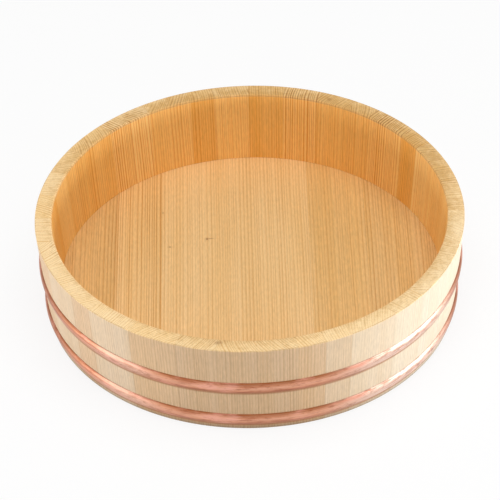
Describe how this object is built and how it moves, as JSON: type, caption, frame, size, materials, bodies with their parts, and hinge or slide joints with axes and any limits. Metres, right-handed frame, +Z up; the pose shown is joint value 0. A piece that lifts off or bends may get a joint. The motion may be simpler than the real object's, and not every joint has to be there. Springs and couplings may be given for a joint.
{
  "type": "hangiri rice tub",
  "caption": "Shallow round wooden tub for cooling and seasoning sushi rice, with upright bevelled staves, a boarded floor held in a groove and crowned copper hoops.",
  "frame": {"origin": "middle of the foot, on the surface that the tub stands on", "axes": "+Z up along the tub's axis, +Y from the front of the picture to its back, along the grain of the floor boards, +X to the right"},
  "size_m": [0.39, 0.39, 0.0955],
  "materials": {
    "wall_wood": "planed, unfinished cypress",
    "floor_wood": "planed, unfinished cypress",
    "copper": "satin copper",
    "bamboo": "split and whittled bamboo"
  },
  "bodies": {
    "root": {"stave_01": "wall_wood", "stave_02": "wall_wood", "stave_03": "wall_wood", "stave_04": "wall_wood", "stave_05": "wall_wood", "stave_06": "wall_wood", "stave_07": "wall_wood", "stave_08": "wall_wood", "stave_09": "wall_wood", "stave_10": "wall_wood", "stave_11": "wall_wood", "stave_12": "wall_wood", "stave_13": "wall_wood", "stave_14": "wall_wood", "stave_15": "wall_wood", "stave_16": "wall_wood", "stave_17": "wall_wood", "stave_18": "wall_wood", "stave_19": "wall_wood", "stave_20": "wall_wood", "stave_21": "wall_wood", "stave_22": "wall_wood", "stave_23": "wall_wood", "stave_24": "wall_wood", "stave_25": "wall_wood", "stave_26": "wall_wood", "stave_27": "wall_wood", "stave_28": "wall_wood", "stave_29": "wall_wood", "stave_30": "wall_wood", "stave_31": "wall_wood", "stave_32": "wall_wood", "stave_33": "wall_wood", "stave_34": "wall_wood", "floor_board_1": "floor_wood", "floor_board_2": "floor_wood", "floor_board_3": "floor_wood", "floor_board_4": "floor_wood", "floor_board_5": "floor_wood", "floor_board_6": "floor_wood", "upper_hoop": "copper", "lower_hoop": "copper", "stave_pegs": "bamboo", "board_pegs": "bamboo"}
  },
  "joints": []
}
